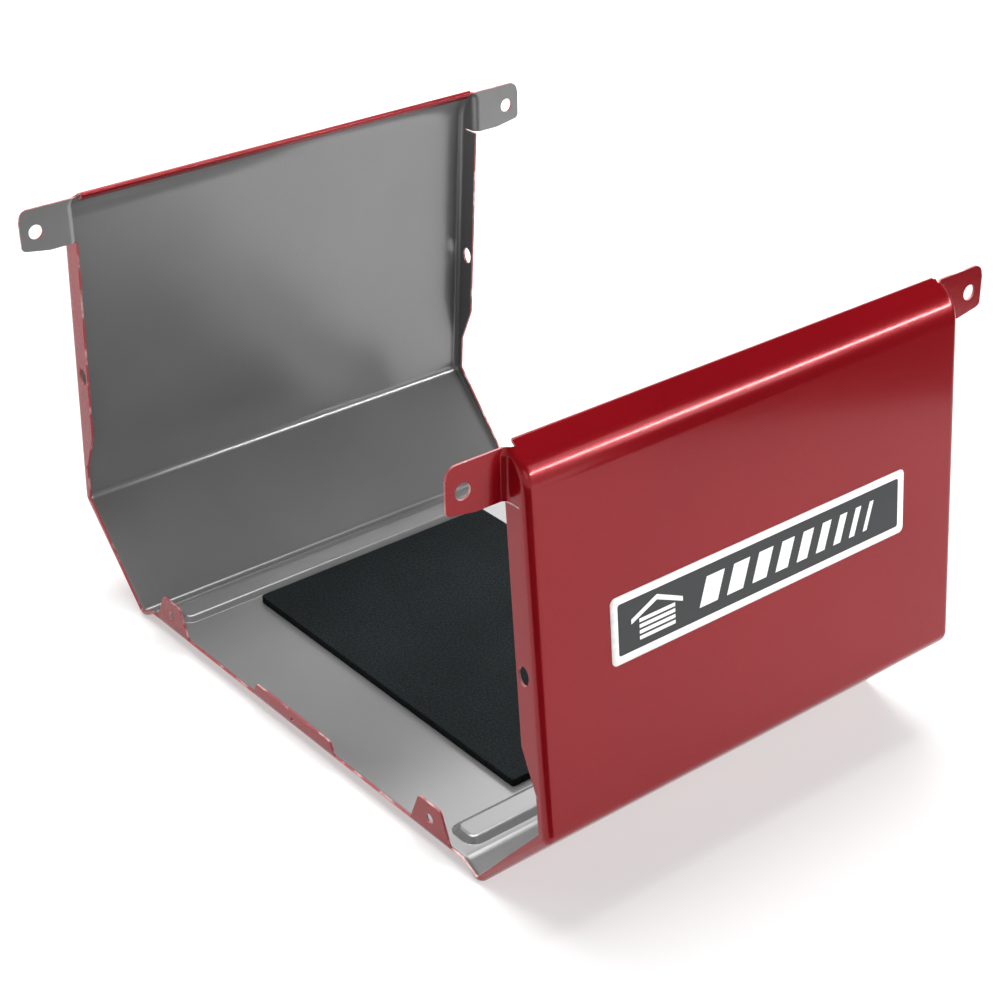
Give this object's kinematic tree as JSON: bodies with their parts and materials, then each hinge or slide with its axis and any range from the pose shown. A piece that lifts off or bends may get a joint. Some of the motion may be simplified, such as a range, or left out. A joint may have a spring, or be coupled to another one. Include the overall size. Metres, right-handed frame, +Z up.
{
  "type": "garage door opener cover",
  "caption": "U-shaped painted sheet-steel cover that wraps the bottom and sides of a garage door opener head, with screw ears, end tabs, floor ribs, a foam pad and a side label.",
  "frame": {"origin": "centre of the bounding box on the surface that the cover stands on", "axes": "+Z up through the open mouth, X along the two side panels, Y from side panel to side panel; the label is on the -Y panel"},
  "size_m": [0.2464, 0.3106, 0.1839],
  "materials": {
    "shell_paint": "fine-textured semi-gloss powder coat, red outside and grey inside",
    "pad_foam": "fine closed-cell foam, matt",
    "label_vinyl": "satin printed vinyl, white border and charcoal field"
  },
  "bodies": {
    "root": {"cover_shell": "shell_paint", "foam_pad": "pad_foam", "side_label": "label_vinyl"}
  },
  "joints": []
}
